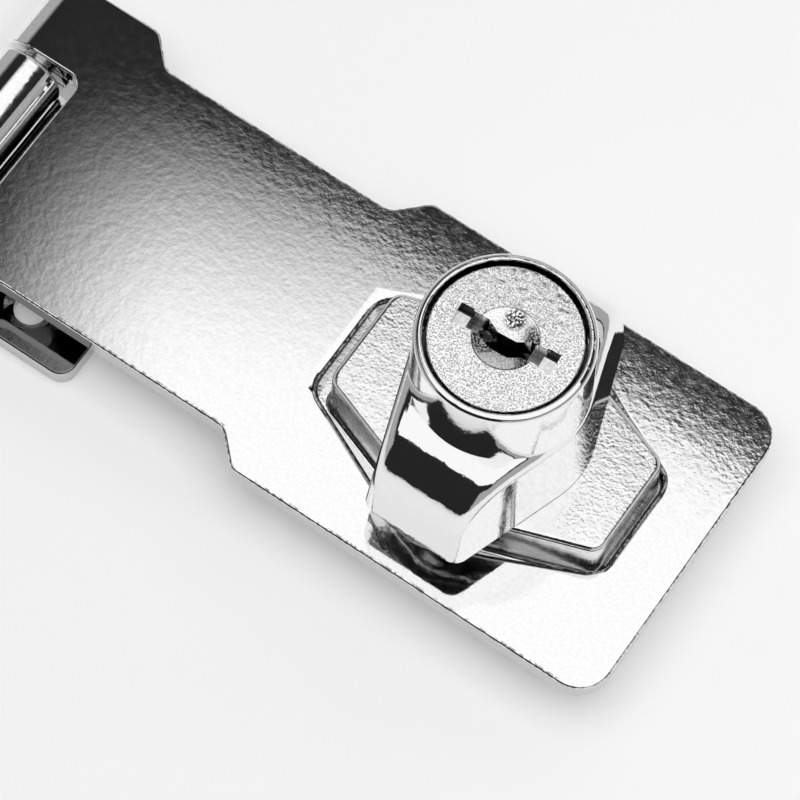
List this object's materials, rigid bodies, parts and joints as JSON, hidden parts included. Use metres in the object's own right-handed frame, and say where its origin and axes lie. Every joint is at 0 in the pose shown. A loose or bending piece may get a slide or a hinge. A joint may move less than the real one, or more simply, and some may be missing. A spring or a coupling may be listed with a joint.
{
  "type": "keyed hasp lock",
  "caption": "Hinged hasp strap slotted over a screw-on lock base, held down by a winged turn knob with a keyed wafer plug.",
  "frame": {"origin": "the knob's axis at the mounting face, which is the centre of the four base screws", "axes": "+X along the strap to its free end, away from the hinge; +Z out of the mounting face along the knob; +Y across the strap"},
  "size_m": [0.0759, 0.03, 0.0271],
  "materials": {
    "sheet_chrome": "chrome plate on pressed sheet with a slight orange peel",
    "cast_chrome": "chrome plate on a zinc casting",
    "plug_chrome": "plated casting with a sandy face",
    "steel": "bright steel",
    "wafer_nickel": "stamped and nickel plated"
  },
  "bodies": {
    "strap_and_base": {"hasp_strap": "sheet_chrome", "hinge_pin": "steel", "lock_base": "cast_chrome"},
    "leaf": {"hinge_leaf": "sheet_chrome"},
    "knob": {"turn_knob": "cast_chrome", "stop_washer": "steel", "spring_washer": "steel", "shank_screw": "steel"},
    "plug": {"key_plug": "plug_chrome", "retainer_wafer": "wafer_nickel", "retainer_spring": "steel", "wafer_spring_1": "steel", "wafer_spring_2": "steel", "wafer_spring_3": "steel", "wafer_spring_4": "steel", "wafer_spring_5": "steel"},
    "bolt": {"lock_bolt": "steel"},
    "wafer_1": {"wafer_1": "wafer_nickel"},
    "wafer_2": {"wafer_2": "wafer_nickel"},
    "wafer_3": {"wafer_3": "wafer_nickel"},
    "wafer_4": {"wafer_4": "wafer_nickel"},
    "wafer_5": {"wafer_5": "wafer_nickel"}
  },
  "joints": [
    {"name": "leaf_swing", "type": "hinge", "parent": "strap_and_base", "child": "leaf", "pos_m": [-0.05315, 0, 0.0033], "axis": [0, 1, 0], "range_deg": [0, 180]},
    {"name": "knob_turn", "type": "hinge", "parent": "strap_and_base", "child": "knob", "pos_m": [0, 0, 0], "axis": [0, 0, 1], "range_deg": [0, 90]},
    {"name": "plug_turn", "type": "hinge", "parent": "knob", "child": "plug", "pos_m": [0, 0, 0], "axis": [0, 0, 1], "range_deg": [0, 90]},
    {"name": "bolt_slide", "type": "slide", "parent": "knob", "child": "bolt", "axis": [1, 0, 0], "range_m": [0, 0.0017]},
    {"name": "wafer_slide_1", "type": "slide", "parent": "plug", "child": "wafer_1", "axis": [0.9969, 0.0785, 0], "range_m": [0, 0.0005], "stiffness_N_per_m": 60, "springref_m": 0.001},
    {"name": "wafer_slide_2", "type": "slide", "parent": "plug", "child": "wafer_2", "axis": [0.9969, 0.0785, 0], "range_m": [0, 0.0005], "stiffness_N_per_m": 60, "springref_m": 0.001},
    {"name": "wafer_slide_3", "type": "slide", "parent": "plug", "child": "wafer_3", "axis": [0.9969, 0.0785, 0], "range_m": [0, 0.0005], "stiffness_N_per_m": 60, "springref_m": 0.001},
    {"name": "wafer_slide_4", "type": "slide", "parent": "plug", "child": "wafer_4", "axis": [0.9969, 0.0785, 0], "range_m": [0, 0.0005], "stiffness_N_per_m": 60, "springref_m": 0.001},
    {"name": "wafer_slide_5", "type": "slide", "parent": "plug", "child": "wafer_5", "axis": [0.9969, 0.0785, 0], "range_m": [0, 0.0005], "stiffness_N_per_m": 60, "springref_m": 0.001}
  ],
  "couplings": [
    {"joint": "bolt_slide", "follows": "plug_turn", "m_per_rad": 0.0010803}
  ]
}
